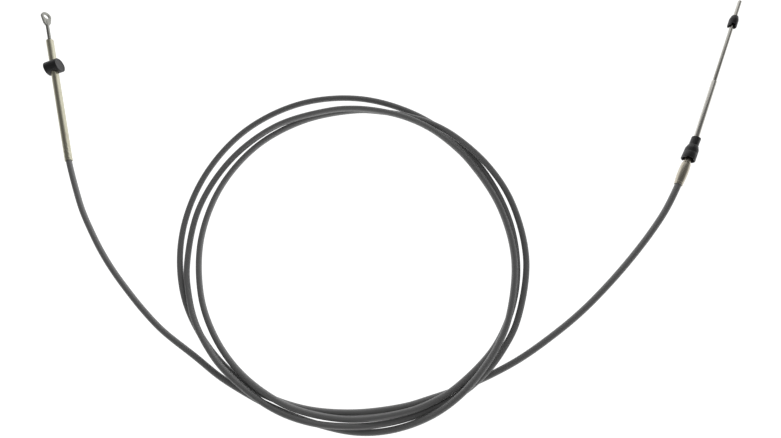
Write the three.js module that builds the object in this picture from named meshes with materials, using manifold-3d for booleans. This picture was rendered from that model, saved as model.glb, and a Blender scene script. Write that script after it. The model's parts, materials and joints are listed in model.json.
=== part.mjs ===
// Push-pull control cable for a boat motor's throttle or shift, laid flat in three loose turns.
// Millimetres, +Z up, the floor at Z = 0. The origin is on the floor, midway between the end fittings.
import * as THREE from "three";
import { mergeVertices } from "three/addons/utils/BufferGeometryUtils.js";
import Module from "manifold-3d";

const wasm = await Module();
wasm.setup();

// Driving sizes
const casingRadius = 3.9; // grey conduit
const fitGap = 0.3; // between a piece and the one it is pressed on or slides in
const turnGap = 0.3; // between one turn of the cable and the next
const casingSides = 8;
const casingStepLength = 23; // along the conduit
const roundSides = 24;
const stroke = 76; // travel of the core, from one stop to the other
const frameShift = { x: 32, y: -179.3 }; // from the route's own zero to the part's origin

// Engine end: swaged tube, barrel and eye
const engineTubeLength = 194.5;
const engineTubeWall = 0.9;
const engineSwageLength = 21; // how far the tube is swaged over the conduit
const engineTubeChamfer = 0.5;
const engineRodRadius = 2.38;
const engineRodShown = 26.2; // rod seen between the tube and the eye plate's foot
const engineRodHidden = stroke + 60;
const eyeHoleRadius = 4.2;
const eyeRimWidth = 2.4;
const eyeThickness = 3.2;
const eyeFootLength = 15; // from the hole's centre to where the plate grows out of the rod
const eyeShoulderLength = 4;
const eyeShoulderWidth = 9;
const eyeRoll = 65; // degrees that the plate is turned about the rod
const barrelRadius = 10.2;
const barrelLength = 20;
const barrelEdge = 0.8;
const barrelDistance = 150; // from the conduit's end to the barrel's middle
const barrelRoll = 3; // degrees that one end of the barrel is raised

// Control end: ferrule, hub, swivel sleeve and sliding rod
const ferruleEndRadius = 4.95; // at the conduit, from where it swells
const ferruleRadius = 5.85;
const ferruleShoulderRadius = 5.3;
const ferruleSwellEnd = 12;
const ferruleTaperStart = 20;
const ferruleLength = 30;
const ferruleEdge = 1;
const ferruleNeckLength = 16;
const ferruleNeckRadius = 4.1;
const ferruleSwageDepth = 21;
const hubSeatLength = 5; // of the hub on the ferrule's neck
const hubNeckLength = 11.5; // from the skirt's top to the hub's mouth
const hubWall = 1.1;
const hubEdge = 1;
const skirtTopRadius = 6;
const skirtConeLength = 5;
const skirtShoulderRadius = 7.9;
const skirtRimRadius = 8.4;
const skirtBandLength = 14.5; // from the shoulder to the rim
const skirtWall = 1.4;
const skirtSeatDepth = 13.3; // from the skirt's inner floor to its top
const skirtNotchWidth = 8;
const skirtNotchLength = 3;
const swivelBallRadius = 4.1;
const swivelAngle = 8; // degrees to each side
const swivelRest = 3.1; // degrees that the sleeve lies out of the hub's line
const swivelDepth = 6.5; // of the ball's centre inside the hub's mouth
const swivelInnerLength = 5; // of the sleeve behind the ball's centre
const socketReach = 2;
const socketSteps = 3;
const sleeveRadius = 3.2;
const sleeveWall = 0.52;
const sleeveLip = 0.3;
const sleeveShown = 81.1;
const controlRodShown = stroke + 5.6;
const controlRodEngaged = 18; // left in the sleeve when the rod is all the way out
const terminalLength = 15.5;
const terminalTopRadius = 4;
const terminalConeLength = 5.5;
const terminalRimRadius = 5.6;
const terminalWall = 1.2;
const terminalSeatLength = 9; // of the terminal on the rod
const terminalNotchWidth = 5;
const terminalNotchLength = 2.5;
const tipLength = 23.9;
const tipRound = 1.2;

const engineBore = engineRodRadius + fitGap;
const controlBore = sleeveRadius - sleeveWall;
const controlRodRadius = controlBore - fitGap; // it slides in the sleeve
const casingBore = casingRadius + fitGap;
const engineTubeRadius = casingBore + engineTubeWall;
const hubRadius = swivelBallRadius + fitGap + hubWall;

const degrees = THREE.MathUtils.degToRad;
const point = (x, y) => new THREE.Vector2(x, y);

// Colours of the bare materials
const material = (color, roughness, metalness) => new THREE.MeshStandardMaterial({ color, roughness, metalness });
const jacketGrey = material(0x66676a, 0.55, 0);
const zincYellow = material(0x8d8a6c, 0.35, 0.9);
const rodSteel = material(0x8f8f8a, 0.35, 1);
const stainless = material(0xa9a59b, 0.28, 1);
const blackPlastic = material(0x272726, 0.5, 0);

// A turned piece about its own Y axis from a closed profile of radii and heights
function turned(name, profile, finish, sides = roundSides) {
  const points = profile.map(([radius, height]) => point(radius, height));
  points.push(points[0].clone());
  const geometry = new THREE.LatheGeometry(points, sides);
  const mesh = new THREE.Mesh(mergedPositions(geometry), finish);
  mesh.name = name;
  return mesh;
}

// Positions only, with shared corners merged, as a boolean needs them
function mergedPositions(geometry) {
  const plain = geometry.clone();
  plain.deleteAttribute("normal");
  plain.deleteAttribute("uv");
  return mergeVertices(plain, 1e-4);
}

function toSolid(geometry) {
  const merged = mergedPositions(geometry);
  const mesh = new wasm.Mesh({
    numProp: 3,
    vertProperties: new Float32Array(merged.attributes.position.array),
    triVerts: new Uint32Array(merged.index.array),
  });
  return new wasm.Manifold(mesh);
}

function solidMesh(name, solid, finish) {
  const result = solid.getMesh();
  const geometry = new THREE.BufferGeometry();
  geometry.setAttribute("position", new THREE.BufferAttribute(result.vertProperties, 3));
  geometry.setIndex(new THREE.BufferAttribute(result.triVerts, 1));
  const mesh = new THREE.Mesh(geometry, finish);
  mesh.name = name;
  return mesh;
}

// The conduit's route. Coil rows are a bearing in degrees, clockwise from the far side and counted on
// through all the turns, the distance from the coil's centre, and the layer that the cable lies in.
const coilCentre = { x: -46.7, y: -56.2 };
const coilRows = [
  [120, 233, 0], [130, 213, 0], [140, 198.5, 0], [150, 188.5, 0], [160, 183.5, 0], [180, 180, 0],
  [200, 186, 0], [220, 197.5, 0], [240, 210.5, 0], [260, 225.5, 0], [280, 235.5, 0], [300, 240.5, 0],
  [320, 241, 0], [340, 235, 0], [360, 225, 0], [380, 214, 0], [400, 206, 0], [420, 202, 0],
  [440, 202, 0], [460, 202.5, 0.06], [480, 200.5, 0.3], [500, 195, 1], [510, 192.5, 1.05], [520, 189.5, 0.9],
  [540, 187, 0.7], [560, 188, 1.1], [575, 190, 1], [590, 194.5, 0.4], [605, 199, 0.05], [620, 203, 0],
  [640, 208, 0], [660, 211.5, 0], [680, 212, 0], [700, 209, 0], [720, 207, 0.08], [730, 206, 0.2],
  [740, 206, 0.6], [750, 207, 0.95], [760, 207.5, 1.1], [775, 210, 0.65], [790, 212.5, 0.1], [810, 213.5, 0.03],
  [830, 212, 0.1], [840, 210, 0.4], [850, 207.5, 0.93], [860, 204, 0.9], [870, 199.5, 0.5], [880, 197, 0.2],
  [890, 195.5, 0.3], [900, 195, 0.8], [915, 197, 1.1], [930, 199.5, 1.1], [950, 205, 1.1], [960, 209, 1.05],
  [970, 213.5, 0.9], [980, 217.5, 0.4], [990, 221, 0.1], [1010, 225, 0], [1030, 223.5, 0.15], [1050, 216.5, 0.85],
  [1070, 208.5, 1.1], [1080, 206, 1.2], [1090, 203, 1.3], [1100, 201, 1.4], [1110, 199, 1.4], [1120, 197, 1.05],
  [1130, 195.5, 0.75], [1150, 195.5, 0.85], [1170, 198.5, 1], [1190, 201, 1.2], [1200, 202, 1.55],
  [1210, 202.5, 1.95], [1220, 204, 2.05], [1230, 205, 1.4], [1240, 205, 0.4], [1250, 204, 0.05], [1260, 201.5, 0],
  [1275, 197.5, 0], [1290, 200.5, 0], [1300, 206.5, 0], [1310, 217, 0], [1320, 231, 0],
];

// Tail rows are X, Y and the layer
const controlTail = [
  [335, 1, 0.24], [317.7, -23.4, 0.03], [298, -47.5, 0], [276.8, -71.3, 0], [254, -94.8, 0], [229.3, -118, 0],
  [200.6, -141.2, 0],
];
const engineTail = [
  [-294, -138.8, 0], [-322.4, -113.2, 0], [-347.5, -87, 0], [-371, -60.2, 0], [-391.6, -33, 0],
  [-409.6, -5, 0], [-426, 23.6, 0], [-439, 52.6, 0.01],
];

// Each end's axis starts at the conduit's end, and its heading is counter-clockwise from +Y
const engineEnd = { x: -455.3, y: 95.8, heading: 15.5 };
const controlEnd = { x: 351.6, y: 31.2, heading: -25.6 };
const clearOfFloor = 0.05;
const barrelHeight = barrelRadius * Math.cos(degrees(barrelRoll))
  + (barrelLength / 2) * Math.sin(degrees(barrelRoll)) + clearOfFloor;
const engineHeight = engineTubeRadius + clearOfFloor;
const enginePitch = Math.asin((barrelHeight - engineHeight) / barrelDistance);
const ferruleEnd = ferruleLength + ferruleNeckLength;
const hubStart = ferruleEnd - hubSeatLength;
const skirtTop = hubStart + skirtSeatDepth;
const skirtShoulder = skirtTop - skirtConeLength;
const skirtRim = skirtShoulder - skirtBandLength;
const hubTop = skirtTop + hubNeckLength;
const pivotDistance = hubTop - swivelDepth;

// From the swivel's ball on, distances count along the sleeve's own axis
const sleeveEnd = swivelDepth + sleeveShown;
const terminalStart = sleeveEnd + controlRodShown;
const terminalEnd = terminalStart + terminalLength;

// The skirt rests on the floor just above its notches, and the terminal just below its cone
const skirtRestRadius = skirtRimRadius
  - ((skirtRimRadius - skirtShoulderRadius) * skirtNotchLength) / skirtBandLength;
const skirtHeight = skirtRestRadius + clearOfFloor;
const skirtRest = skirtRim + skirtNotchLength;
const terminalHeight = terminalRimRadius + clearOfFloor;
const terminalRest = terminalEnd - terminalConeLength;
const restSpan = pivotDistance + terminalRest - skirtRest;
const controlPitch = Math.asin((terminalHeight - skirtHeight) / restSpan);
const controlHeight = skirtHeight - skirtRest * Math.sin(controlPitch);

// A group whose local Y axis runs outwards along one end of the cable
function endGroup(end, height, pitch) {
  const group = new THREE.Group();
  group.position.set(end.x, end.y, height);
  group.rotation.set(pitch, 0, degrees(end.heading), "ZXY");
  group.updateMatrixWorld();
  return group;
}

const engineGroup = endGroup(engineEnd, engineHeight, enginePitch);
const controlGroup = endGroup(controlEnd, controlHeight, controlPitch);
const sleeveGroup = new THREE.Group();
sleeveGroup.position.y = pivotDistance;
sleeveGroup.rotation.z = degrees(swivelRest);

function layerHeight(layer) {
  return casingRadius + clearOfFloor + layer * (2 * casingRadius + turnGap);
}

function conduitRoute() {
  const points = [];
  points.push(controlGroup.localToWorld(new THREE.Vector3(0, ferruleSwageDepth - fitGap, 0)));
  points.push(controlGroup.localToWorld(new THREE.Vector3(0, 0, 0)));
  for (const [x, y, layer] of controlTail) points.push(new THREE.Vector3(x, y, layerHeight(layer)));
  for (const [bearing, distance, layer] of coilRows) {
    const x = coilCentre.x + distance * Math.sin(degrees(bearing));
    const y = coilCentre.y + distance * Math.cos(degrees(bearing));
    points.push(new THREE.Vector3(x, y, layerHeight(layer)));
  }
  for (const [x, y, layer] of engineTail) points.push(new THREE.Vector3(x, y, layerHeight(layer)));
  points.push(engineGroup.localToWorld(new THREE.Vector3(0, 0, 0)));
  points.push(engineGroup.localToWorld(new THREE.Vector3(0, engineSwageLength - fitGap, 0)));
  const route = new THREE.CatmullRomCurve3(points, false, "centripetal");
  route.arcLengthDivisions = 2000;
  return route;
}

function makeCasing() {
  const route = conduitRoute();
  const corners = [];
  for (let i = 0; i < casingSides; i++) {
    const turn = (2 * Math.PI * i) / casingSides;
    corners.push(point(casingRadius * Math.cos(turn), casingRadius * Math.sin(turn)));
  }
  const steps = Math.round(route.getLength() / casingStepLength);
  const geometry = new THREE.ExtrudeGeometry(new THREE.Shape(corners), { steps, extrudePath: route });
  const mesh = new THREE.Mesh(mergedPositions(geometry), jacketGrey);
  mesh.name = "casing";
  return mesh;
}

function makeEngineTube() {
  return turned("engine_tube", [
    [casingBore, 0],
    [engineTubeRadius, 0],
    [engineTubeRadius, engineTubeLength - engineTubeChamfer],
    [engineTubeRadius - engineTubeChamfer, engineTubeLength],
    [engineBore, engineTubeLength],
    [engineBore, engineSwageLength],
    [casingBore, engineSwageLength],
  ], zincYellow);
}

// The barrel lies across the tube, with a bore for it
function makeBarrel() {
  const half = barrelLength / 2;
  const body = new THREE.LatheGeometry([
    point(0, -half),
    point(barrelRadius - barrelEdge, -half),
    point(barrelRadius, -half + barrelEdge),
    point(barrelRadius, half - barrelEdge),
    point(barrelRadius - barrelEdge, half),
    point(0, half),
  ], 2 * roundSides);
  body.rotateZ(Math.PI / 2);
  const bore = new THREE.CylinderGeometry(
    engineTubeRadius + fitGap, engineTubeRadius + fitGap, 3 * barrelRadius, roundSides);
  const mesh = solidMesh("barrel", toSolid(body).subtract(toSolid(bore)), blackPlastic);
  mesh.position.y = barrelDistance;
  mesh.rotation.y = -degrees(barrelRoll);
  return mesh;
}

// The rod's outer end is forged flat and drilled for the motor's pin
function makeEngineRod() {
  const eyeDistance = engineTubeLength + engineRodShown + eyeFootLength;
  const rodStart = engineTubeLength - engineRodHidden;
  const rodLength = engineRodHidden + engineRodShown + eyeFootLength / 2;
  const rod = new THREE.CylinderGeometry(engineRodRadius, engineRodRadius, rodLength, roundSides);
  rod.translate(0, rodStart + rodLength / 2, 0);
  const outer = eyeHoleRadius + eyeRimWidth;
  const shoulder = eyeShoulderLength - eyeFootLength;
  const outline = new THREE.Shape();
  outline.moveTo(-engineRodRadius, -eyeFootLength);
  outline.lineTo(engineRodRadius, -eyeFootLength);
  outline.lineTo(eyeShoulderWidth / 2, shoulder);
  outline.lineTo(outer, 0);
  outline.absarc(0, 0, outer, 0, Math.PI, false);
  outline.lineTo(-eyeShoulderWidth / 2, shoulder);
  const hole = new THREE.Path();
  hole.absarc(0, 0, eyeHoleRadius, 0, 2 * Math.PI, true);
  outline.holes.push(hole);
  const plate = new THREE.ExtrudeGeometry(outline, {
    depth: eyeThickness, bevelEnabled: false, curveSegments: roundSides,
  });
  plate.translate(0, 0, -eyeThickness / 2);
  plate.rotateY(degrees(eyeRoll));
  plate.translate(0, eyeDistance, 0);
  return solidMesh("engine_rod", toSolid(rod).add(toSolid(plate)), rodSteel);
}

function makeFerrule() {
  return turned("ferrule", [
    [casingBore, 0],
    [ferruleEndRadius, 0],
    [ferruleRadius, ferruleSwellEnd],
    [ferruleRadius, ferruleTaperStart],
    [ferruleShoulderRadius, ferruleLength - ferruleEdge],
    [ferruleShoulderRadius - ferruleEdge, ferruleLength],
    [ferruleNeckRadius, ferruleLength],
    [ferruleNeckRadius, ferruleEnd],
    [controlBore, ferruleEnd],
    [controlBore, ferruleSwageDepth],
    [casingBore, ferruleSwageDepth],
  ], zincYellow);
}

// The hub's mouth on each side of the ball lets the sleeve swing by the swivel angle
function swingRadius(distance) {
  const swing = degrees(swivelAngle);
  return sleeveRadius / Math.cos(swing) + distance * Math.tan(swing) + fitGap;
}

// The ball socket's profile from its inner lip to its outer one. The lips keep the ball in.
function socketProfile() {
  const radius = swivelBallRadius + fitGap;
  const lipAngle = Math.acos(swingRadius(socketReach) / radius);
  const rows = [];
  for (let i = -socketSteps; i <= socketSteps; i++) {
    const angle = (lipAngle * i) / socketSteps;
    rows.push([radius * Math.cos(angle), pivotDistance + radius * Math.sin(angle)]);
  }
  return rows;
}

// The two notches, above and below, that part a skirt's rim into a left and a right lip
function notchCutter(width, length, rimDistance, rimRadius) {
  const notch = new THREE.BoxGeometry(width, 2 * length, 4 * rimRadius);
  notch.translate(0, rimDistance, 0);
  return toSolid(notch);
}

function makeHub() {
  const seat = ferruleNeckRadius + fitGap;
  const solid = toSolid(turned("hub", [
    [seat, hubStart],
    [skirtShoulderRadius - skirtWall, hubStart],
    [skirtRimRadius - skirtWall, skirtRim],
    [skirtRimRadius, skirtRim],
    [skirtShoulderRadius, skirtShoulder],
    [skirtTopRadius, skirtTop],
    [hubRadius, skirtTop],
    [hubRadius, hubTop - hubEdge],
    [hubRadius - hubEdge / 2, hubTop],
    [swingRadius(hubTop - pivotDistance), hubTop],
    ...socketProfile().reverse(),
    [swingRadius(swivelInnerLength), pivotDistance - swivelInnerLength - fitGap],
    [swingRadius(swivelInnerLength), ferruleEnd + fitGap],
    [seat, ferruleEnd + fitGap],
  ], blackPlastic).geometry);
  const notches = notchCutter(skirtNotchWidth, skirtNotchLength, skirtRim, skirtRimRadius);
  return solidMesh("snap_hub", solid.subtract(notches), blackPlastic);
}

// The support tube has a ball near its inner end, held in the hub's socket
function makeSwivelSleeve() {
  const halfBall = Math.sqrt(swivelBallRadius ** 2 - sleeveRadius ** 2);
  const cheekRadius = (sleeveRadius + swivelBallRadius) / 2;
  const cheek = Math.sqrt(swivelBallRadius ** 2 - cheekRadius ** 2);
  return turned("swivel_sleeve", [
    [controlBore, -swivelInnerLength],
    [sleeveRadius, -swivelInnerLength],
    [sleeveRadius, -halfBall],
    [cheekRadius, -cheek],
    [swivelBallRadius, 0],
    [cheekRadius, cheek],
    [sleeveRadius, halfBall],
    [sleeveRadius, sleeveEnd - sleeveLip],
    [sleeveRadius - sleeveLip, sleeveEnd],
    [controlBore, sleeveEnd],
  ], stainless);
}

// The rod's tip beyond the snap terminal is rounded
function makeControlRod() {
  const end = terminalEnd + tipLength;
  return turned("control_rod", [
    [0, sleeveEnd - controlRodEngaged],
    [controlRodRadius, sleeveEnd - controlRodEngaged],
    [controlRodRadius, end - tipRound],
    [controlRodRadius - tipRound, end],
    [0, end],
  ], rodSteel);
}

function makeTerminal() {
  const seat = controlRodRadius + fitGap;
  const seatStart = terminalEnd - terminalSeatLength;
  const solid = toSolid(turned("terminal", [
    [seat, seatStart],
    [terminalRimRadius - terminalWall, seatStart],
    [terminalRimRadius - terminalWall, terminalStart],
    [terminalRimRadius, terminalStart],
    [terminalRimRadius, terminalEnd - terminalConeLength],
    [terminalTopRadius, terminalEnd],
    [seat, terminalEnd],
  ], blackPlastic).geometry);
  const notches = notchCutter(terminalNotchWidth, terminalNotchLength, terminalStart, terminalRimRadius);
  return solidMesh("snap_terminal", solid.subtract(notches), blackPlastic);
}

const part = new THREE.Group();
engineGroup.add(makeEngineTube(), makeBarrel(), makeEngineRod());
sleeveGroup.add(makeSwivelSleeve(), makeControlRod(), makeTerminal());
controlGroup.add(makeFerrule(), makeHub(), sleeveGroup);
part.add(makeCasing(), engineGroup, controlGroup);
part.position.set(frameShift.x, frameShift.y, 0);
part.updateMatrixWorld(true);

export default part;
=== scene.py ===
# Looks of a push-pull control cable that lies in loose turns on a pale floor.
# Metres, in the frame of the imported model.
import json
import math

import bmesh
import bpy
from mathutils import Matrix, Vector


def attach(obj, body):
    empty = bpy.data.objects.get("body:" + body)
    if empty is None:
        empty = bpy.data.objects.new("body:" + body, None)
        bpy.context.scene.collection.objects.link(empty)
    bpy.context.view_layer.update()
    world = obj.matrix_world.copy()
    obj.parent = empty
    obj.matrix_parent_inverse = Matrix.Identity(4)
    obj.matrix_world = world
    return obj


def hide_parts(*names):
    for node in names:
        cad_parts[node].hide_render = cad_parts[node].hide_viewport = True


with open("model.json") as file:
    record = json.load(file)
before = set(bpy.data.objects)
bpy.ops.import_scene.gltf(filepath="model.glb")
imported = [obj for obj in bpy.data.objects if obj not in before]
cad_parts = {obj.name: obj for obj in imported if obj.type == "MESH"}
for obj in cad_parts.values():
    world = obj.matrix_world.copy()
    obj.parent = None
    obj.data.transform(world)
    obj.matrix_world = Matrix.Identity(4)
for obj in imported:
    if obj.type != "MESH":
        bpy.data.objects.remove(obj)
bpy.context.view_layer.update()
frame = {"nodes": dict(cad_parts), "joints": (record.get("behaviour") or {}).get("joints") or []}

JOINTS = {joint["name"]: joint for joint in frame["joints"]}
NODES = frame["nodes"]

# Sizes shared with the part
CASING_RADIUS = 0.0039
TURN_GAP = 0.0003
FIT_GAP = 0.0003
CLEAR_OF_FLOOR = 0.00005
SWAGE_DEPTH = 0.021

# Fineness of the modelled surfaces
ROUND_SIDES = 64
ARC_STEPS = 4
ARC_SHARE = 0.45
NEARLY_STRAIGHT = math.radians(8)
FINE_EDGE = 0.0002
EDGE = 0.0003
SOFT_EDGE = 0.0004
CORD_SIDES = 24
CORD_STEP = 0.005
CURVE_STEPS = 24
SAME_PLACE = 1e-7

# Camera, as the photograph was taken: from above, a little to the near side and the right
PHOTO_WIDTH = 781
FOCAL_PIXELS = 565
SENSOR_WIDTH = 36
CAMERA_PLACE = (0.1133, -0.3483, 0.7012)
CAMERA_TILT = (13.49, 6.656, 0)

# The route, as in the part: from the control end, round the coil and out to the engine end.
# Coil rows are a bearing in degrees, the distance from the coil's centre and the layer.
ROUTE_ZERO = (0.0320, -0.1793)
COIL_CENTRE = (-0.0467, -0.0562)
COIL_ROWS = [
    (120, 0.2330, 0), (130, 0.2130, 0), (140, 0.1985, 0), (150, 0.1885, 0), (160, 0.1835, 0),
    (180, 0.1800, 0), (200, 0.1860, 0), (220, 0.1975, 0), (240, 0.2105, 0), (260, 0.2255, 0),
    (280, 0.2355, 0), (300, 0.2405, 0), (320, 0.2410, 0), (340, 0.2350, 0), (360, 0.2250, 0),
    (380, 0.2140, 0), (400, 0.2060, 0), (420, 0.2020, 0), (440, 0.2020, 0), (460, 0.2025, 0.06),
    (480, 0.2005, 0.3), (500, 0.1950, 1), (510, 0.1925, 1.05), (520, 0.1895, 0.9), (540, 0.1870, 0.7),
    (560, 0.1880, 1.1), (575, 0.1900, 1), (590, 0.1945, 0.4), (605, 0.1990, 0.05), (620, 0.2030, 0),
    (640, 0.2080, 0), (660, 0.2115, 0), (680, 0.2120, 0), (700, 0.2090, 0), (720, 0.2070, 0.08),
    (730, 0.2060, 0.2), (740, 0.2060, 0.6), (750, 0.2070, 0.95), (760, 0.2075, 1.1),
    (775, 0.2100, 0.65), (790, 0.2125, 0.1), (810, 0.2135, 0.03), (830, 0.2120, 0.1),
    (840, 0.2100, 0.4), (850, 0.2075, 0.93), (860, 0.2040, 0.9), (870, 0.1995, 0.5),
    (880, 0.1970, 0.2), (890, 0.1955, 0.3), (900, 0.1950, 0.8), (915, 0.1970, 1.1),
    (930, 0.1995, 1.1), (950, 0.2050, 1.1), (960, 0.2090, 1.05), (970, 0.2135, 0.9),
    (980, 0.2175, 0.4), (990, 0.2210, 0.1), (1010, 0.2250, 0), (1030, 0.2235, 0.15),
    (1050, 0.2165, 0.85), (1070, 0.2085, 1.1), (1080, 0.2060, 1.2), (1090, 0.2030, 1.3),
    (1100, 0.2010, 1.4), (1110, 0.1990, 1.4), (1120, 0.1970, 1.05), (1130, 0.1955, 0.75),
    (1150, 0.1955, 0.85), (1170, 0.1985, 1), (1190, 0.2010, 1.2), (1200, 0.2020, 1.55),
    (1210, 0.2025, 1.95), (1220, 0.2040, 2.05), (1230, 0.2050, 1.4), (1240, 0.2050, 0.4),
    (1250, 0.2040, 0.05), (1260, 0.2015, 0), (1275, 0.1975, 0), (1290, 0.2005, 0),
    (1300, 0.2065, 0), (1310, 0.2170, 0), (1320, 0.2310, 0),
]
CONTROL_TAIL = [
    (0.3350, 0.0010, 0.24), (0.3177, -0.0234, 0.03), (0.2980, -0.0475, 0), (0.2768, -0.0713, 0),
    (0.2540, -0.0948, 0), (0.2293, -0.1180, 0), (0.2006, -0.1412, 0),
]
ENGINE_TAIL = [
    (-0.2940, -0.1388, 0), (-0.3224, -0.1132, 0), (-0.3475, -0.0870, 0), (-0.3710, -0.0602, 0),
    (-0.3916, -0.0330, 0), (-0.4096, -0.0050, 0), (-0.4260, 0.0236, 0), (-0.4390, 0.0526, 0.01),
]


# Camera

def make_camera():
    data = bpy.data.cameras.new("camera")
    data.sensor_width = SENSOR_WIDTH
    data.sensor_fit = "HORIZONTAL"
    data.lens = SENSOR_WIDTH * FOCAL_PIXELS / PHOTO_WIDTH
    data.clip_start = 0.01
    camera = bpy.data.objects.new("camera", data)
    camera.location = CAMERA_PLACE
    camera.rotation_euler = [math.radians(angle) for angle in CAMERA_TILT]
    bpy.context.scene.collection.objects.link(camera)
    bpy.context.scene.camera = camera


# The ends' own frames, each with its Y axis outwards along the end

def axis_frame(origin, along, up):
    y = Vector(along).normalized()
    x = y.cross(Vector(up)).normalized()
    matrix = Matrix((x, y, x.cross(y))).transposed().to_4x4()
    matrix.translation = Vector(origin)
    return matrix


def reach(node, matrix):
    """The lowest and highest distance of a node along an end's axis."""
    inverse = matrix.inverted()
    distances = [(inverse @ vertex.co).y for vertex in NODES[node].data.vertices]
    return min(distances), max(distances)


def ferrule_axis():
    """The ferrule's axis runs from the middle of its points to the sleeve's pivot."""
    points = [vertex.co for vertex in NODES["ferrule"].data.vertices]
    middle = sum(points, Vector()) / len(points)
    pivot = Vector(JOINTS["sleeve_swivel"]["pos_m"])
    return (pivot - middle).normalized()


UP = JOINTS["sleeve_swivel"]["axis"]
HUB = axis_frame(JOINTS["sleeve_swivel"]["pos_m"], ferrule_axis(), UP)
SLEEVE = axis_frame(JOINTS["sleeve_swivel"]["pos_m"], JOINTS["control_rod_slide"]["axis"], UP)
ENGINE = axis_frame(JOINTS["barrel_turn"]["pos_m"], JOINTS["engine_rod_slide"]["axis"], (0, 0, 1))


# Mesh helpers

def mark_grain(piece, matrix):
    """Keeps each point's place across and along its own axis, which the materials follow."""
    inverse = matrix.inverted()
    mesh = piece.data
    attribute = mesh.attributes.new("grain", "FLOAT_VECTOR", "POINT")
    for vertex, item in zip(mesh.vertices, attribute.data):
        place = inverse @ vertex.co
        item.vector = (place.x, place.z, place.y)


def new_piece(name, vertices, faces):
    mesh = bpy.data.meshes.new(name)
    mesh.from_pydata(vertices, [], faces)
    mesh.update()
    piece = bpy.data.objects.new(name, mesh)
    bpy.context.scene.collection.objects.link(piece)
    return piece


def clean(piece):
    """Merges points that fall together, drops loose ones and turns all faces outwards."""
    edit = bmesh.new()
    edit.from_mesh(piece.data)
    bmesh.ops.remove_doubles(edit, verts=edit.verts, dist=SAME_PLACE)
    bmesh.ops.dissolve_degenerate(edit, edges=edit.edges, dist=SAME_PLACE / 10)
    loose = [vertex for vertex in edit.verts if not vertex.link_faces]
    bmesh.ops.delete(edit, geom=loose, context="VERTS")
    bmesh.ops.recalc_face_normals(edit, faces=edit.faces)
    edit.to_mesh(piece.data)
    edit.free()


def shade(piece, angle):
    mesh = piece.data
    mesh.polygons.foreach_set("use_smooth", [True] * len(mesh.polygons))
    mesh.set_sharp_from_angle(angle=math.radians(angle))


def bake(piece):
    """Turns the piece's modifiers into mesh."""
    graph = bpy.context.evaluated_depsgraph_get()
    mesh = bpy.data.meshes.new_from_object(piece.evaluated_get(graph))
    piece.modifiers.clear()
    piece.data = mesh


def soften(piece, width, angle=40):
    bevel = piece.modifiers.new("soft edges", "BEVEL")
    bevel.width = width
    bevel.segments = 2
    bevel.limit_method = "ANGLE"
    bevel.angle_limit = math.radians(angle)
    bake(piece)


def cut(piece, cutter):
    """Cuts a cutter's volume out of a piece and removes the cutter."""
    difference = piece.modifiers.new("cut", "BOOLEAN")
    difference.operation = "DIFFERENCE"
    difference.solver = "EXACT"
    difference.object = cutter
    bake(piece)
    bpy.data.objects.remove(cutter)


def join(pieces):
    """Makes one piece of several, in the first one's object."""
    edit = bmesh.new()
    for piece in pieces:
        edit.from_mesh(piece.data)
    edit.to_mesh(pieces[0].data)
    edit.free()
    for piece in pieces[1:]:
        bpy.data.objects.remove(piece)
    return pieces[0]


def rounded(profile, radius):
    """A closed profile whose corners are small arcs.
    A third value in a row is that corner's own radius."""
    result = []
    for i, row in enumerate(profile):
        here = Vector(row[:2])
        size = row[2] if len(row) > 2 else radius
        before = Vector(profile[i - 1][:2]) - here
        after = Vector(profile[(i + 1) % len(profile)][:2]) - here
        straight = before.length * after.length == 0 or before.angle(-after) < NEARLY_STRAIGHT
        if size == 0 or straight:
            result.append(here)
            continue
        reach_back = min(size, before.length * ARC_SHARE, after.length * ARC_SHARE)
        start = here + before.normalized() * reach_back
        end = here + after.normalized() * reach_back
        for k in range(ARC_STEPS + 1):
            t = k / ARC_STEPS
            result.append(start * (1 - t) ** 2 + here * 2 * t * (1 - t) + end * t * t)
    return result


def turned(name, profile, matrix, radius=EDGE, sides=ROUND_SIDES, relief=None):
    """A turned piece from a closed profile of radii and distances along the axis.
    relief(radius, along, angle) may give each point another radius."""
    loop = rounded(profile, radius)
    vertices = []
    for k in range(sides):
        angle = math.tau * k / sides
        for across, along in loop:
            size = relief(across, along, angle) if relief else across
            place = Vector((size * math.cos(angle), along, size * math.sin(angle)))
            vertices.append(matrix @ place)
    count = len(loop)
    faces = []
    for k in range(sides):
        here, beside = k * count, ((k + 1) % sides) * count
        for i in range(count):
            j = (i + 1) % count
            faces.append((here + i, here + j, beside + j, beside + i))
    piece = new_piece(name, vertices, faces)
    clean(piece)
    return piece


def notched(name, profile, width, floor, matrix):
    """A turned piece whose rim has two notches, above and below.
    The profile has a sharp corner on both faces at the floor, the distance where the notches end."""
    loop = rounded(profile, EDGE)
    count = len(loop)
    first, last = [i for i, place in enumerate(loop) if abs(place[1] - floor) < SAME_PLACE]
    half = math.asin(width / 2 / max(place[0] for place in loop))
    angles = []
    lip_steps = ROUND_SIDES * 3 // 8
    notch_steps = ROUND_SIDES // 8
    for middle in (0, math.pi):
        lip = math.pi - 2 * half
        angles += [(middle - lip / 2 + lip * k / lip_steps, False) for k in range(lip_steps)]
        angles += [(middle + lip / 2 + 2 * half * k / notch_steps, True) for k in range(notch_steps)]
    vertices = []
    for angle, _ in angles:
        for across, along in loop:
            place = Vector((across * math.cos(angle), along, across * math.sin(angle)))
            vertices.append(matrix @ place)
    faces = []
    for k, (_, open_here) in enumerate(angles):
        here, beside = k * count, ((k + 1) % len(angles)) * count
        for i in range(count):
            j = (i + 1) % count
            if not (open_here and first <= i < last):
                faces.append((here + i, here + j, beside + j, beside + i))
        if open_here:
            faces.append((here + first, here + last, beside + last, beside + first))
        if open_here != angles[k - 1][1]:
            faces.append(tuple(here + i for i in range(first, last + 1)))
    piece = new_piece(name, vertices, faces)
    clean(piece)
    return piece


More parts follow.
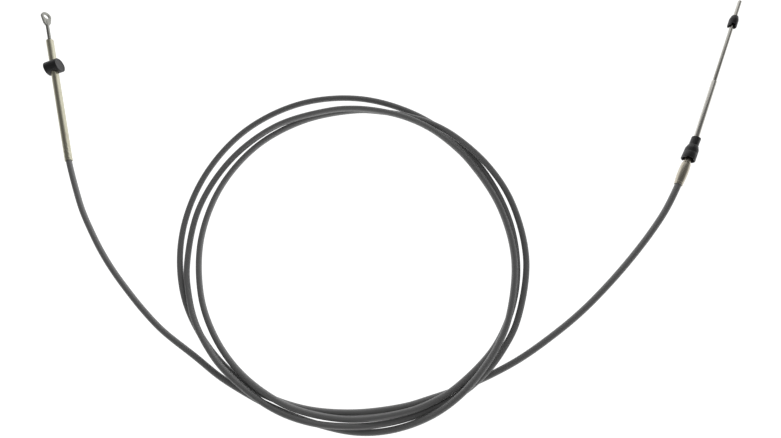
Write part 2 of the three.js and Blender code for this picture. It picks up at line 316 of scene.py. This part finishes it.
def plain_rod(radius, start, end):
    """The profile of a full round rod with sharp ends."""
    return [(0, start, 0), (radius, start, 0), (radius, end, 0), (0, end, 0)]


def even_steps(low, high, count):
    return [low + (high - low) * i / count for i in range(count + 1)]


def finish_piece(piece, matrix, body, slot, *nodes, look=None, angle=35):
    """look is the name of the material, where it isn't the slot's own."""
    shade(piece, angle)
    mark_grain(piece, matrix)
    piece.data.materials.append(MATERIALS[look or slot])
    if nodes:
        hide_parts(*nodes)
    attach(piece, body)
    return piece


# Materials

def node_tree(name):
    material = bpy.data.materials.new(name)
    material.use_nodes = True
    tree = material.node_tree
    return material, tree, tree.nodes["Principled BSDF"]


def grain_place(tree, scale):
    attribute = tree.nodes.new("ShaderNodeAttribute")
    attribute.attribute_name = "grain"
    mapping = tree.nodes.new("ShaderNodeMapping")
    mapping.inputs["Scale"].default_value = scale
    tree.links.new(attribute.outputs["Vector"], mapping.inputs["Vector"])
    return mapping.outputs["Vector"]


def grain_noise(tree, scale, detail=4, roughness=0.55):
    """Noise along the grain. Scale is across, across and along, in cycles a metre."""
    noise = tree.nodes.new("ShaderNodeTexNoise")
    noise.inputs["Scale"].default_value = 1
    noise.inputs["Detail"].default_value = detail
    noise.inputs["Roughness"].default_value = roughness
    tree.links.new(grain_place(tree, scale), noise.inputs["Vector"])
    return noise.outputs["Fac"]


def ramp(tree, value, stops):
    node = tree.nodes.new("ShaderNodeValToRGB")
    elements = node.color_ramp.elements
    while len(elements) < len(stops):
        elements.new(0.5)
    for element, (place, color) in zip(elements, stops):
        element.position = place
        element.color = (*color, 1)
    tree.links.new(value, node.inputs["Fac"])
    return node.outputs["Color"]


def span(tree, value, low, high, to_low, to_high):
    node = tree.nodes.new("ShaderNodeMapRange")
    node.inputs["From Min"].default_value = low
    node.inputs["From Max"].default_value = high
    node.inputs["To Min"].default_value = to_low
    node.inputs["To Max"].default_value = to_high
    tree.links.new(value, node.inputs["Value"])
    return node.outputs["Result"]


def blend_colors(tree, share, first, second):
    """Goes from the first socket's colour to the second colour as share rises."""
    node = tree.nodes.new("ShaderNodeMix")
    node.data_type = "RGBA"
    tree.links.new(share, node.inputs["Factor"])
    tree.links.new(first, node.inputs["A"])
    node.inputs["B"].default_value = (*second, 1)
    return node.outputs["Result"]


def bump(tree, shader, value, distance):
    node = tree.nodes.new("ShaderNodeBump")
    node.inputs["Strength"].default_value = 1
    node.inputs["Distance"].default_value = distance
    tree.links.new(value, node.inputs["Height"])
    tree.links.new(node.outputs["Normal"], shader.inputs["Normal"])


def jacket_material():
    """Extruded grey jacket: faint streaks along it, cloudy gloss and a few paler scuffs."""
    material, tree, shader = node_tree("grey jacket")
    shader.inputs["IOR"].default_value = 1.5
    streaks = grain_noise(tree, (900, 900, 5))
    base = ramp(tree, streaks, [(0.3, (0.215, 0.216, 0.217)), (0.7, (0.255, 0.255, 0.254))])
    scuffs = ramp(tree, grain_noise(tree, (60, 60, 14), 6, 0.7), [(0.62, (0, 0, 0)), (0.75, (1, 1, 1))])
    color = blend_colors(tree, span(tree, scuffs, 0, 1, 0, 0.35), base, (0.38, 0.38, 0.38))
    tree.links.new(color, shader.inputs["Base Color"])
    cloudy = grain_noise(tree, (120, 120, 25))
    tree.links.new(span(tree, cloudy, 0.3, 0.7, 0.34, 0.5), shader.inputs["Roughness"])
    bump(tree, shader, grain_noise(tree, (1500, 1500, 300)), 0.00003)
    return material


def metal_material(name, dark, light, stain, roughness):
    """Drawn metal: fine lines along it, cloudy gloss and dull stains."""
    material, tree, shader = node_tree(name)
    shader.inputs["Metallic"].default_value = 1
    drawn = grain_noise(tree, (1800, 1800, 12))
    base = ramp(tree, drawn, [(0.3, dark), (0.7, light)])
    patches = grain_noise(tree, (220, 220, 60), 5, 0.65)
    color = blend_colors(tree, span(tree, patches, 0.5, 0.75, 0, 0.6), base, stain)
    tree.links.new(color, shader.inputs["Base Color"])
    tree.links.new(span(tree, patches, 0.3, 0.75, *roughness), shader.inputs["Roughness"])
    bump(tree, shader, drawn, 0.00001)
    return material


def plastic_material():
    """Moulded black plastic with a fine spark-eroded grain."""
    material, tree, shader = node_tree("black plastic")
    shader.inputs["IOR"].default_value = 1.5
    cloudy = grain_noise(tree, (300, 300, 300))
    color = ramp(tree, cloudy, [(0.3, (0.014, 0.014, 0.015)), (0.7, (0.022, 0.021, 0.022))])
    tree.links.new(color, shader.inputs["Base Color"])
    tree.links.new(span(tree, cloudy, 0.3, 0.7, 0.38, 0.5), shader.inputs["Roughness"])
    bump(tree, shader, grain_noise(tree, (2500, 2500, 2500)), 0.00003)
    return material


# Metals: the material's name, its dark, its light, its stains and the range of its roughness
METALS = {
    "zinc": ("yellow zinc", (0.52, 0.505, 0.38), (0.66, 0.64, 0.52), (0.44, 0.37, 0.28), (0.3, 0.46)),
    "ferrule": ("dulled zinc", (0.50, 0.46, 0.38), (0.64, 0.60, 0.51), (0.38, 0.32, 0.25), (0.22, 0.36)),
    "forged": ("forged steel", (0.30, 0.30, 0.275), (0.38, 0.38, 0.35), (0.24, 0.23, 0.20), (0.35, 0.5)),
    "rod_steel": ("rod steel", (0.46, 0.45, 0.41), (0.58, 0.57, 0.53), (0.40, 0.36, 0.31), (0.2, 0.32)),
    "stainless": ("stainless", (0.54, 0.53, 0.49), (0.66, 0.64, 0.60), (0.50, 0.46, 0.40), (0.18, 0.3)),
}
MATERIALS = {"jacket": jacket_material()}
MATERIALS.update({look: metal_material(*values) for look, values in METALS.items()})
MATERIALS["black_plastic"] = plastic_material()


# The conduit's jacket

def layer_height(layer):
    return CASING_RADIUS + CLEAR_OF_FLOOR + layer * (2 * CASING_RADIUS + TURN_GAP)


def laid(x, y, layer):
    return Vector((x + ROUTE_ZERO[0], y + ROUTE_ZERO[1], layer_height(layer)))


def route_points():
    """The listed points, with both ends inside the fittings that are swaged on them."""
    hub_end = reach("ferrule", HUB)[0]
    engine_end = reach("engine_tube", ENGINE)[0]
    swaged = SWAGE_DEPTH - FIT_GAP
    points = [HUB @ Vector((0, hub_end + swaged, 0)), HUB @ Vector((0, hub_end, 0))]
    points += [laid(*row) for row in CONTROL_TAIL]
    for bearing, distance, layer in COIL_ROWS:
        x = COIL_CENTRE[0] + distance * math.sin(math.radians(bearing))
        y = COIL_CENTRE[1] + distance * math.cos(math.radians(bearing))
        points.append(laid(x, y, layer))
    points += [laid(*row) for row in ENGINE_TAIL]
    points += [ENGINE @ Vector((0, engine_end, 0)), ENGINE @ Vector((0, engine_end + swaged, 0))]
    return points


def smooth_curve(points):
    """A centripetal Catmull-Rom curve through the points."""
    padded = [2 * points[0] - points[1], *points, 2 * points[-1] - points[-2]]
    curve = []
    for before, start, end, after in zip(padded, padded[1:], padded[2:], padded[3:]):
        d0 = math.sqrt((start - before).length)
        d1 = math.sqrt((end - start).length)
        d2 = math.sqrt((after - end).length)
        leave = ((start - before) / d0 - (end - before) / (d0 + d1) + (end - start) / d1) * d1
        arrive = ((end - start) / d1 - (after - start) / (d1 + d2) + (after - end) / d2) * d1
        for step in range(CURVE_STEPS):
            t = step / CURVE_STEPS
            square = 3 * (end - start) - 2 * leave - arrive
            cube = 2 * (start - end) + leave + arrive
            curve.append(start + leave * t + square * t * t + cube * t * t * t)
    curve.append(points[-1])
    return curve


def even_points(curve):
    """Points along the curve at one spacing, and its length."""
    lengths = [0.0]
    for a, b in zip(curve, curve[1:]):
        lengths.append(lengths[-1] + (b - a).length)
    count = round(lengths[-1] / CORD_STEP)
    result = []
    at = 0
    for i in range(count + 1):
        want = lengths[-1] * i / count
        while at < len(curve) - 2 and lengths[at + 1] < want:
            at += 1
        share = (want - lengths[at]) / (lengths[at + 1] - lengths[at])
        result.append(curve[at].lerp(curve[at + 1], share))
    return result, lengths[-1]


def make_cord():
    """The jacket: one round tube along the whole route, closed at both ends."""
    path, length = even_points(smooth_curve(route_points()))
    ends = [path[0], *path, path[-1]]
    tangents = [(ahead - behind).normalized() for behind, ahead in zip(ends, ends[2:])]
    side = tangents[0].cross(Vector((0, 0, 1))).normalized()
    vertices, grain = [], []
    for i, (centre, tangent) in enumerate(zip(path, tangents)):
        side = (side - tangent * side.dot(tangent)).normalized()
        up = side.cross(tangent)
        for k in range(CORD_SIDES):
            angle = math.tau * k / CORD_SIDES
            across = CASING_RADIUS * math.cos(angle)
            rise = CASING_RADIUS * math.sin(angle)
            vertices.append(centre + side * across + up * rise)
            grain += [across, rise, length * i / (len(path) - 1)]
    faces = []
    for start in range(0, len(vertices) - CORD_SIDES, CORD_SIDES):
        for k in range(CORD_SIDES):
            a = start + k
            b = start + (k + 1) % CORD_SIDES
            faces.append((a, a + CORD_SIDES, b + CORD_SIDES, b))
    faces.append(tuple(range(CORD_SIDES)))
    faces.append(tuple(reversed(range(len(vertices) - CORD_SIDES, len(vertices)))))
    cord = new_piece("conduit_jacket", vertices, faces)
    attribute = cord.data.attributes.new("grain", "FLOAT_VECTOR", "POINT")
    attribute.data.foreach_set("vector", grain)
    shade(cord, 60)
    cord.data.materials.append(MATERIALS["jacket"])
    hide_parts("casing")
    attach(cord, "conduit")


# Engine end: swaged tube, barrel, rod with its flat eye

TUBE_RADIUS = 0.0051
TUBE_BORE = 0.00268
TUBE_RIM_WALL = 0.0009
TUBE_SIDES = 96
LINER_DEPTH = 0.0006
LINER_GAP = 0.00005
CRIMPED_FROM = 0.0006
CRIMPED_TO = 0.0272
CRIMPED_STEPS = 60
CRIMP_ROWS = (0.3, 7.3)
CRIMP_PITCH = 0.0036
CRIMP_DEPTH = 0.00028
CRIMPS_ROUND = 6


def crimp(radius, along, angle):
    """Rows of shallow dents that the swaging tool leaves, each row turned by half a dent."""
    if radius < TUBE_RADIUS - 0.0001:
        return radius
    start = reach("engine_tube", ENGINE)[0]
    row = (along - start) / CRIMP_PITCH
    if not CRIMP_ROWS[0] < row < CRIMP_ROWS[1]:
        return radius
    turn = angle * CRIMPS_ROUND + math.pi * int(row)
    dent = max(0.0, math.cos(turn)) * math.sin(math.pi * (row % 1)) ** 2
    return radius - CRIMP_DEPTH * dent


def make_engine_tube():
    start, end = reach("engine_tube", ENGINE)
    seat = CASING_RADIUS + FIT_GAP
    swage_end = start + SWAGE_DEPTH
    rim_bore = TUBE_RADIUS - TUBE_RIM_WALL
    profile = [(seat, start), (TUBE_RADIUS, start)]
    crimped = even_steps(start + CRIMPED_FROM, start + CRIMPED_TO, CRIMPED_STEPS)
    profile += [(TUBE_RADIUS, along) for along in crimped]
    profile += [
        (TUBE_RADIUS, end), (rim_bore, end), (rim_bore, end - LINER_DEPTH),
        (TUBE_BORE, end - LINER_DEPTH), (TUBE_BORE, swage_end), (seat, swage_end),
    ]
    tube = turned("engine_end_tube", profile, ENGINE, SOFT_EDGE, sides=TUBE_SIDES, relief=crimp)
    finish_piece(tube, ENGINE, "conduit", "zinc", "engine_tube")


def make_tube_liner():
    """The black wiper in the tube's mouth, round the rod."""
    end = reach("engine_tube", ENGINE)[1]
    outer = TUBE_RADIUS - TUBE_RIM_WALL - LINER_GAP
    inside = end - LINER_DEPTH + LINER_GAP
    profile = [(TUBE_BORE, inside), (outer, inside), (outer, end - 0.0002), (TUBE_BORE, end + 0.0003)]
    liner = turned("tube_wiper", profile, ENGINE, FINE_EDGE)
    finish_piece(liner, ENGINE, "conduit", "black_plastic")


BARREL_RADIUS = 0.0102
BARREL_LENGTH = 0.020
BARREL_ROLL = 3
BARREL_SIDES = 168
BARREL_EDGE = 0.0008
FACE_RIM = 0.0018
DISH_RIM = 0.0022
FACE_DISH = 0.0004


def make_barrel():
    half = BARREL_LENGTH / 2
    across = Matrix.Rotation(math.radians(-BARREL_ROLL), 4, "Y") @ Matrix.Rotation(-math.pi / 2, 4, "Z")
    place = ENGINE @ across
    rim = BARREL_RADIUS - FACE_RIM
    dish = BARREL_RADIUS - DISH_RIM
    profile = [
        (0, -half + FACE_DISH, 0), (dish, -half + FACE_DISH), (rim, -half),
        (BARREL_RADIUS, -half, BARREL_EDGE), (BARREL_RADIUS, half, BARREL_EDGE),
        (rim, half), (dish, half - FACE_DISH), (0, half - FACE_DISH, 0),
    ]
    barrel = turned("cross_barrel", profile, place, SOFT_EDGE, sides=BARREL_SIDES)
    bore_reach = BARREL_RADIUS * 1.5
    bore = turned("bore", plain_rod(TUBE_RADIUS + FIT_GAP, -bore_reach, bore_reach), ENGINE)
    cut(barrel, bore)
    clean(barrel)
    soften(barrel, 0.00025, 50)
    finish_piece(barrel, place, "barrel", "black_plastic", "barrel")


ROD_RADIUS = 0.00238
EYE_HOLE_RADIUS = 0.0042
EYE_RADIUS = 0.0066
EYE_THICKNESS = 0.0032
EYE_ROLL = 65
EYE_FOOT = 0.015
EYE_SHOULDER = (0.0045, -0.011)
EYE_GRAIN = 0.00018
EYE_SMOOTHING = 4
EYE_SPARE = 0.0003
EYE_STEPS = 24
HOLE_REACH = 0.003
STUB_BEHIND_FOOT = 0.006
STUB_BEHIND_HOLE = 0.004
SHAFT_BEHIND_FOOT = 0.0045


def make_eye_plate(eye):
    """The flat plate: an outline round the hole's axis, as thick as the plate."""
    shoulder, shoulder_along = EYE_SHOULDER
    shoulder += EYE_SPARE
    radius = EYE_RADIUS + EYE_SPARE
    outline = [(-ROD_RADIUS, -EYE_FOOT), (ROD_RADIUS, -EYE_FOOT), (shoulder, shoulder_along)]
    for angle in even_steps(0, math.pi, EYE_STEPS):
        outline.append((radius * math.cos(angle), radius * math.sin(angle)))
    outline.append((-shoulder, shoulder_along))
    half = EYE_THICKNESS / 2 + EYE_SPARE / 2
    vertices = [eye @ Vector((x, y, z)) for z in (-half, half) for x, y in outline]
    count = len(outline)
    faces = [tuple(reversed(range(count))), tuple(range(count, 2 * count))]
    for i in range(count):
        j = (i + 1) % count
        faces.append((i, j, count + j, count + i))
    return new_piece("eye_plate", vertices, faces)


def make_eye(eye_distance):
    """The rod's flattened end: plate and rod fused, edges worn round as a forging's, hole cut."""
    roll = Matrix.Rotation(math.radians(EYE_ROLL), 4, "Y")
    eye = ENGINE @ Matrix.Translation((0, eye_distance, 0)) @ roll
    stub_profile = plain_rod(ROD_RADIUS, -EYE_FOOT - STUB_BEHIND_FOOT, -EYE_HOLE_RADIUS - STUB_BEHIND_HOLE)
    stub = turned("stub", stub_profile, eye)
    forged = join([make_eye_plate(eye), stub])
    remesh = forged.modifiers.new("fuse", "REMESH")
    remesh.mode = "VOXEL"
    remesh.voxel_size = EYE_GRAIN
    smooth = forged.modifiers.new("forge", "SMOOTH")
    smooth.factor = 0.5
    smooth.iterations = EYE_SMOOTHING
    bake(forged)
    hole_profile = plain_rod(EYE_HOLE_RADIUS, -HOLE_REACH, HOLE_REACH)
    hole = turned("hole", hole_profile, eye @ Matrix.Rotation(math.pi / 2, 4, "X"))
    cut(forged, hole)
    return forged


def make_engine_rod():
    start, end = reach("engine_rod", ENGINE)
    eye_distance = end - EYE_RADIUS
    shaft_profile = plain_rod(ROD_RADIUS, start, eye_distance - EYE_FOOT - SHAFT_BEHIND_FOOT)
    shaft = turned("engine_rod_with_eye", shaft_profile, ENGINE)
    rod = join([shaft, make_eye(eye_distance)])
    finish_piece(rod, ENGINE, "engine_rod", "rod_steel", "engine_rod", look="forged", angle=50)


# Control end: ferrule, snap hub, swivel sleeve, sliding rod, snap terminal

# The ferrule's outside: radius, distance from its start and rounding, with a fine groove near the start
FERRULE_ROWS = [
    (0.00495, 0, 0.0005), (0.00512, 0.0019, 0), (0.00488, 0.0022, 0), (0.00488, 0.0027, 0),
    (0.00518, 0.0030, 0), (0.00545, 0.006, 0), (0.0057, 0.009, 0), (0.00585, 0.013, 0),
    (0.00585, 0.019, 0), (0.0057, 0.023, 0), (0.0053, 0.029, 0.0004), (0.0046, 0.030, 0.0002),
]
FERRULE_NECK = 0.0041
HUB_RADIUS = 0.0055
HUB_OVER_FERRULE = 0.005
COLLAR_LENGTH = 0.0115
COLLAR_FILLET = 0.0004
SHOULDER_LENGTH = 0.005
SHOULDER_TOP = 0.0061
HUB_NOTCH_WIDTH = 0.008
HUB_NOTCH_DEPTH = 0.0012
# The fine groove round the skirt: change of radius and distance before the shoulder
SKIRT_GROOVE = [(0.00012, 0.0048), (-0.0001, 0.0045), (-0.0001, 0.0041), (0.0001, 0.0038)]
SKIRT_RIM = 0.0084
SKIRT_SHOULDER = 0.0079
SKIRT_WALL = 0.0014
BALL_RADIUS = 0.0041
SLEEVE_RADIUS = 0.0032
SWING = math.radians(8)
SLEEVE_INNER = 0.005
# The fine groove round the sleeve: depth and distance from the ball
SLEEVE_GROOVE = [(0, 0.0118), (0.00015, 0.0120), (0.00015, 0.0125), (0, 0.0127)]
TIP_ROUNDING = 0.0014
TERMINAL_RADIUS = 0.0056
TERMINAL_TOP = 0.004
TERMINAL_WALL = 0.0012
TERMINAL_FLOOR = 0.009
TERMINAL_CONE = 0.0055
TERMINAL_CHAMFER = 0.0004
TERMINAL_NOTCH_WIDTH = 0.005
TERMINAL_NOTCH_DEPTH = 0.0025


def make_ferrule():
    start, end = reach("ferrule", HUB)
    seat = CASING_RADIUS + FIT_GAP
    bore = ROD_RADIUS + FIT_GAP
    outside = [(radius, start + along, edge) for radius, along, edge in FERRULE_ROWS]
    step = outside[-1][1]
    profile = [
        (seat, start), *outside, (FERRULE_NECK, step),
        (FERRULE_NECK, end), (bore, end), (bore, start + SWAGE_DEPTH), (seat, start + SWAGE_DEPTH),
    ]
    ferrule = turned("swaged_ferrule", profile, HUB)
    finish_piece(ferrule, HUB, "conduit", "zinc", "ferrule", look="ferrule")


def swing_radius(distance):
    """The free radius round the sleeve at a distance from its ball, for its full swing."""
    return SLEEVE_RADIUS / math.cos(SWING) + distance * math.tan(SWING) + FIT_GAP


def arc(radius, low, high, steps):
    """Rows of a profile along a ball about the origin, between two angles from its equator."""
    angles = even_steps(low, high, steps)
    return [(radius * math.cos(angle), radius * math.sin(angle), 0) for angle in angles]


def make_hub():
    rim, top = reach("snap_hub", HUB)
    ferrule_end = reach("ferrule", HUB)[1]
    seat = FERRULE_NECK + FIT_GAP
    hub_start = ferrule_end - HUB_OVER_FERRULE
    skirt_top = top - COLLAR_LENGTH
    shoulder = skirt_top - SHOULDER_LENGTH
    notch = rim + HUB_NOTCH_DEPTH
    slope = (SKIRT_RIM - SKIRT_SHOULDER) / (shoulder - rim)
    at_notch = SKIRT_RIM - slope * (notch - rim)
    socket = BALL_RADIUS + FIT_GAP
    lip = math.acos(swing_radius(0.002) / socket)
    room = swing_radius(SLEEVE_INNER)
    groove = [(SKIRT_SHOULDER + change, shoulder - before, 0) for change, before in SKIRT_GROOVE]
    profile = [
        (swing_radius(top), top, EDGE), *reversed(arc(socket, -lip, lip, 8)),
        (room, -SLEEVE_INNER - FIT_GAP), (room, ferrule_end + FIT_GAP),
        (seat, ferrule_end + FIT_GAP), (seat, hub_start), (SKIRT_SHOULDER - SKIRT_WALL, hub_start, 0.0008),
        (at_notch - SKIRT_WALL, notch, 0), (SKIRT_RIM - SKIRT_WALL, rim, EDGE), (SKIRT_RIM, rim, 0.0005),
        (at_notch, notch, 0), *groove, (SKIRT_SHOULDER, shoulder, 0.0012), (SHOULDER_TOP, skirt_top, 0.0008),
        (HUB_RADIUS, skirt_top + COLLAR_FILLET, COLLAR_FILLET), (HUB_RADIUS, top, 0.0008),
    ]
    hub = notched("hub_with_skirt", profile, HUB_NOTCH_WIDTH, notch, HUB)
    soften(hub, EDGE)
    finish_piece(hub, HUB, "conduit", "black_plastic", "snap_hub")


def make_sleeve():
    start, end = reach("swivel_sleeve", SLEEVE)
    bore = ROD_RADIUS + FIT_GAP
    meet = math.acos(SLEEVE_RADIUS / BALL_RADIUS)
    groove = [(SLEEVE_RADIUS - depth, along, 0) for depth, along in SLEEVE_GROOVE]
    profile = [
        (bore, start), (SLEEVE_RADIUS, start), *arc(BALL_RADIUS, -meet, meet, 16),
        *groove, (SLEEVE_RADIUS, end, 0.0006), (bore, end, FINE_EDGE),
    ]
    sleeve = turned("support_sleeve", profile, SLEEVE)
    finish_piece(sleeve, SLEEVE, "sleeve", "stainless", "swivel_sleeve")


def make_control_rod():
    start, end = reach("control_rod", SLEEVE)
    profile = [(0, start, 0), (ROD_RADIUS, start), (ROD_RADIUS, end, TIP_ROUNDING), (0, end, 0)]
    rod = turned("sliding_rod", profile, SLEEVE)
    finish_piece(rod, SLEEVE, "control_rod", "rod_steel", "control_rod")


def make_terminal():
    rim, top = reach("snap_terminal", SLEEVE)
    seat = ROD_RADIUS + FIT_GAP
    floor = top - TERMINAL_FLOOR
    inner = TERMINAL_RADIUS - TERMINAL_WALL
    notch = rim + TERMINAL_NOTCH_DEPTH
    cone = top - TERMINAL_CONE
    profile = [
        (seat, floor), (inner, floor, 0.0006), (inner, notch, 0), (inner, rim, EDGE),
        (TERMINAL_RADIUS, rim, SOFT_EDGE), (TERMINAL_RADIUS, notch, 0), (TERMINAL_RADIUS, cone, 0.001),
        (TERMINAL_TOP + TERMINAL_CHAMFER / 2, top - TERMINAL_CHAMFER, EDGE),
        (TERMINAL_TOP - TERMINAL_CHAMFER, top, FINE_EDGE), (seat, top, FINE_EDGE),
    ]
    terminal = notched("snap_terminal_tip", profile, TERMINAL_NOTCH_WIDTH, notch, SLEEVE)
    soften(terminal, 0.00025)
    finish_piece(terminal, SLEEVE, "control_rod", "black_plastic", "snap_terminal")


# Floor and light

FLOOR_HALF = 40
FLOOR_GLOW = 1.06
# Soft boxes: power, size, place and tilt in degrees
TOP_BOX = (0.8, 1.2, (0.0, -0.15, 1.5), (0, 0, 0))
FAR_BOX = (1.5, 0.9, (0.35, 0.85, 0.38), (-67, 0, -21))


def make_floor():
    corners = [(-FLOOR_HALF, -FLOOR_HALF, 0), (FLOOR_HALF, -FLOOR_HALF, 0),
               (FLOOR_HALF, FLOOR_HALF, 0), (-FLOOR_HALF, FLOOR_HALF, 0)]
    floor = new_piece("floor", corners, [(0, 1, 2, 3)])
    material, tree, shader = node_tree("pale floor")
    shader.inputs["Base Color"].default_value = (0.3, 0.3, 0.3, 1)
    shader.inputs["Roughness"].default_value = 0.9
    shader.inputs["Specular IOR Level"].default_value = 0
    shader.inputs["Emission Color"].default_value = (1, 1, 1, 1)
    shader.inputs["Emission Strength"].default_value = FLOOR_GLOW
    floor.data.materials.append(material)


def make_world():
    """Pale studio walls low down, dimmer overhead."""
    world = bpy.data.worlds.new("studio")
    bpy.context.scene.world = world
    world.use_nodes = True
    tree = world.node_tree
    place = tree.nodes.new("ShaderNodeTexCoord")
    split = tree.nodes.new("ShaderNodeSeparateXYZ")
    tree.links.new(place.outputs["Generated"], split.inputs["Vector"])
    color = ramp(tree, split.outputs["Z"], [
        (0.0, (1.0, 1.0, 1.0)), (0.1, (0.72, 0.72, 0.72)), (0.5, (0.22, 0.22, 0.22)),
        (1.0, (0.13, 0.13, 0.13))])
    tree.links.new(color, tree.nodes["Background"].inputs["Color"])


def make_soft_box(power, size, place, tilt, glossy):
    data = bpy.data.lights.new("soft_box", "AREA")
    data.shape = "SQUARE"
    data.size = size
    data.energy = power
    light = bpy.data.objects.new("soft_box", data)
    light.location = place
    light.rotation_euler = [math.radians(angle) for angle in tilt]
    light.visible_camera = False
    light.visible_glossy = glossy
    bpy.context.scene.collection.objects.link(light)


def make_lights():
    """A faint soft light overhead, and a brighter one beyond the cable that shows in the metal."""
    make_soft_box(*TOP_BOX, False)
    make_soft_box(*FAR_BOX, True)


make_camera()
make_cord()
make_engine_tube()
make_tube_liner()
make_barrel()
make_engine_rod()
make_ferrule()
make_hub()
make_sleeve()
make_control_rod()
make_terminal()
make_floor()
make_world()
make_lights()
bpy.context.scene.view_settings.view_transform = "Standard"
